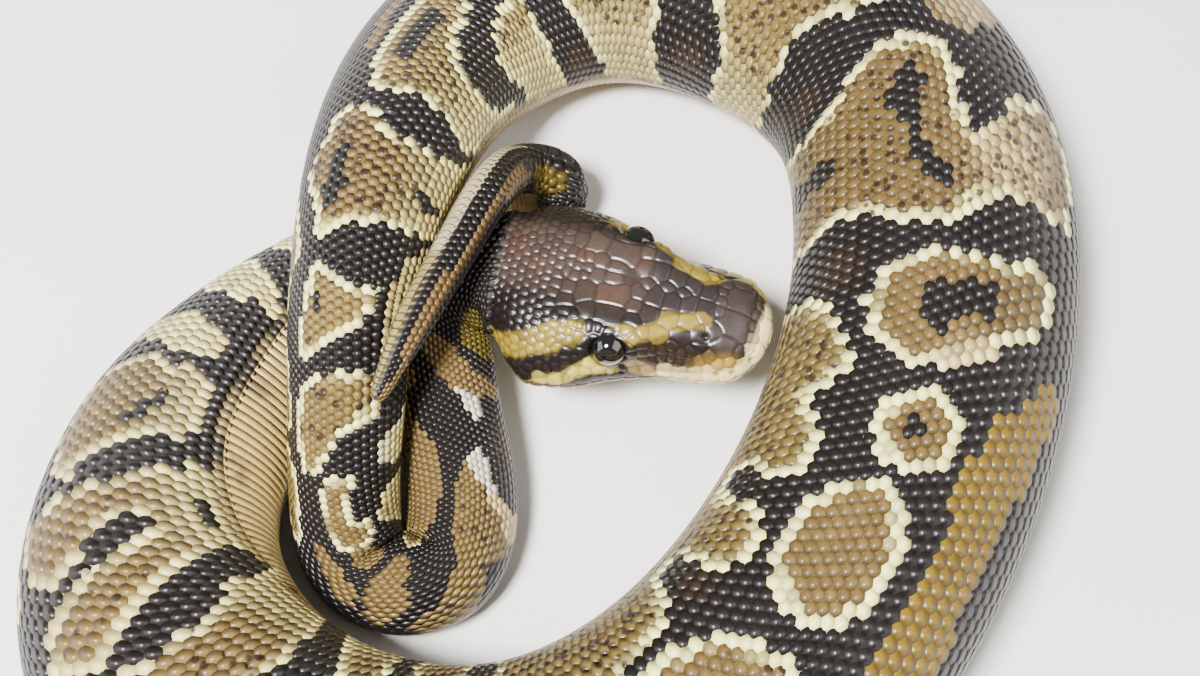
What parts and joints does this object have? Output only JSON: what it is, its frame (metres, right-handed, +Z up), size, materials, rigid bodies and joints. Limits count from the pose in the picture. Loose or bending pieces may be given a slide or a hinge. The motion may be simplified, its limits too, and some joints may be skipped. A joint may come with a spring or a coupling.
{
  "type": "coiled ball python",
  "caption": "Still life-size model of a young ball python resting in a loose coil, head inside the coil and tail laid over its own neck, patterned in dark brown, tan and cream.",
  "frame": {"origin": "On the floor, under the middle of the coil's bounding box.", "axes": "+Z is up. +Y runs across the coil from its foot to its top and is the longest side. +X is the way the head mostly points."},
  "size_m": [0.0932, 0.1056, 0.0226],
  "materials": {
    "crown_skin": "dark brown scales with a soft shine",
    "jaw_skin": "cream scales with a soft shine",
    "neck_and_tail_skin": "dark brown and tan scales with a soft shine",
    "trunk_skin": "tan blotches on dark brown scales with a soft shine",
    "eye": "black and wet-looking"
  },
  "bodies": {
    "root": {"head": "crown_skin", "lower_jaw": "jaw_skin", "eye_left": "eye", "eye_right": "eye", "neck_1": "neck_and_tail_skin", "neck_2": "neck_and_tail_skin", "neck_3": "neck_and_tail_skin", "trunk_1": "trunk_skin", "trunk_2": "trunk_skin", "trunk_3": "trunk_skin", "trunk_4": "trunk_skin", "trunk_5": "trunk_skin", "trunk_6": "trunk_skin", "trunk_7": "trunk_skin", "trunk_8": "trunk_skin", "trunk_9": "trunk_skin", "trunk_10": "trunk_skin", "trunk_11": "trunk_skin", "trunk_12": "trunk_skin", "trunk_13": "trunk_skin", "trunk_14": "trunk_skin", "trunk_15": "trunk_skin", "trunk_16": "trunk_skin", "trunk_17": "trunk_skin", "trunk_18": "trunk_skin", "trunk_19": "trunk_skin", "tail_1": "neck_and_tail_skin", "tail_2": "neck_and_tail_skin", "tail_3": "neck_and_tail_skin", "tail_4": "neck_and_tail_skin", "tail_5": "neck_and_tail_skin", "tail_6": "neck_and_tail_skin"}
  },
  "joints": []
}
